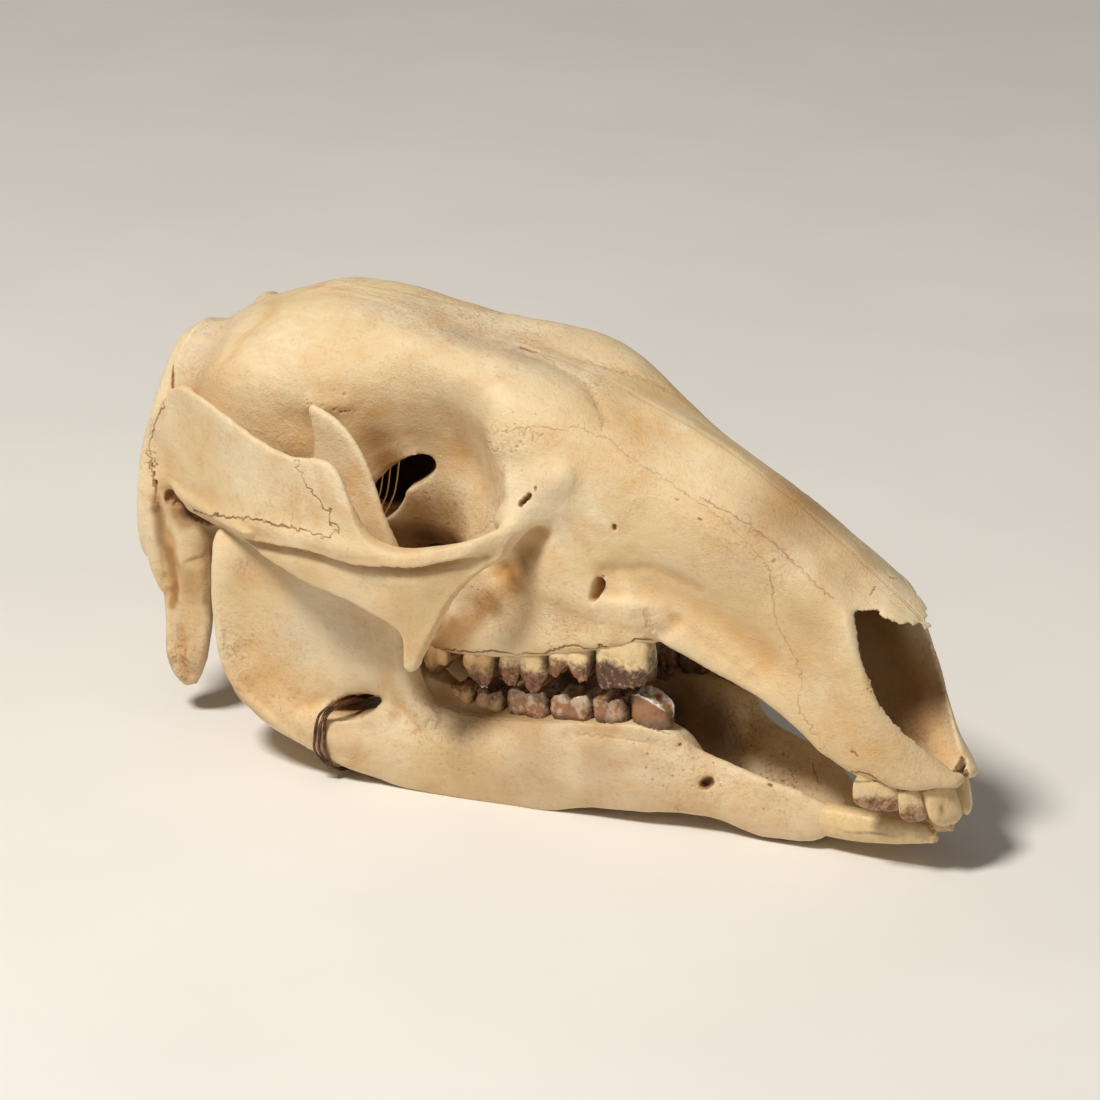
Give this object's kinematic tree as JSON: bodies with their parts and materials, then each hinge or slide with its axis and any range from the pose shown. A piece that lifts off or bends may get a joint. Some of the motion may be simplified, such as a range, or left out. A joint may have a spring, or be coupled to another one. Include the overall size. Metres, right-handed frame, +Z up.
{
  "type": "wallaby skull",
  "caption": "Dry adult wallaby skull with its lower jaw set closed under it: braincase, snout with cheek and front teeth, cheek arches, jaw halves and thin wire ties; rests on the jaw",
  "frame": {"origin": "on the floor that the jaw rests on, at the centre of the skull's length and width", "axes": "+X towards the snout, +Y towards the animal's left, +Z up"},
  "size_m": [0.1532, 0.075, 0.0755],
  "materials": {
    "bone": "dry satin bone, warm ivory with tan patches and brown stain round the teeth",
    "copper_wire": "dull brown copper wire"
  },
  "bodies": {
    "root": {"braincase": "bone", "snout": "bone", "cheek_arch_right": "bone", "cheek_arch_left": "bone", "jaw_right": "bone", "jaw_left": "bone", "wire_tie_right": "copper_wire", "wire_tie_left": "copper_wire"}
  },
  "joints": []
}
